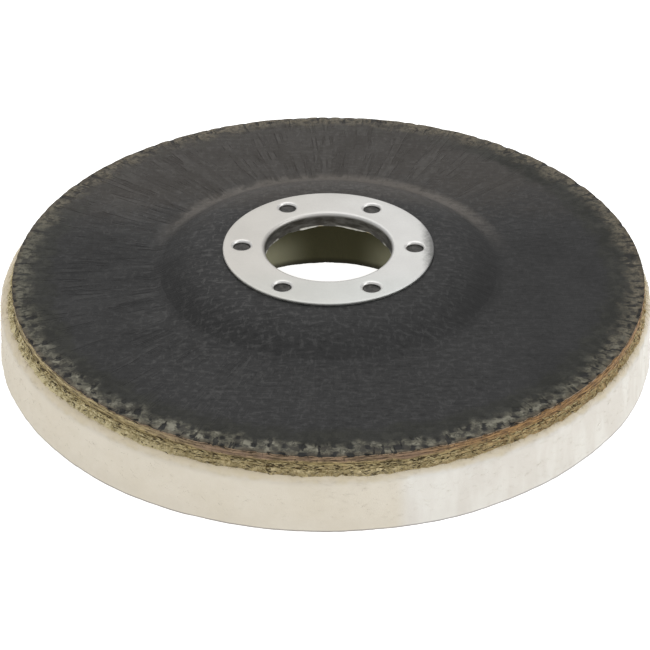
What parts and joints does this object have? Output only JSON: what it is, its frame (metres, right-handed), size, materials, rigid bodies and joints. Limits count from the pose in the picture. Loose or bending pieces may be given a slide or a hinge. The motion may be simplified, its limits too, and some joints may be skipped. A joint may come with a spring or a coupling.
{
  "type": "felt polishing wheel",
  "caption": "Thick wool felt polishing ring glued under a raised-hub glass-fibre backing plate with a black cloth facing and a stamped steel arbor ring.",
  "frame": {"origin": "on the wheel's axis at the felt's working face", "axes": "+Z along the wheel's axis, from the felt towards the grinder; X and Y in the felt's working face, +X through one of the ring's punched holes to within a degree"},
  "size_m": [0.115, 0.115, 0.0173],
  "materials": {
    "stamped_steel": "satin zinc-bright stamping",
    "black_cloth": "matte resin-coated woven cloth",
    "glass_laminate": "cut edge of phenolic glass-fibre laminate",
    "coarse_glass_mesh": "coarse resin-soaked glass mesh",
    "dried_glue": "dried amber adhesive",
    "wool_felt": "dense off-white wool felt"
  },
  "bodies": {
    "root": {"arbor_ring": "stamped_steel", "black_facing": "black_cloth", "glass_ply_1": "glass_laminate", "glass_ply_2": "glass_laminate", "glass_ply_3": "glass_laminate", "coarse_mesh_ply": "coarse_glass_mesh", "glue_layer": "dried_glue", "felt_ring": "wool_felt"}
  },
  "joints": []
}
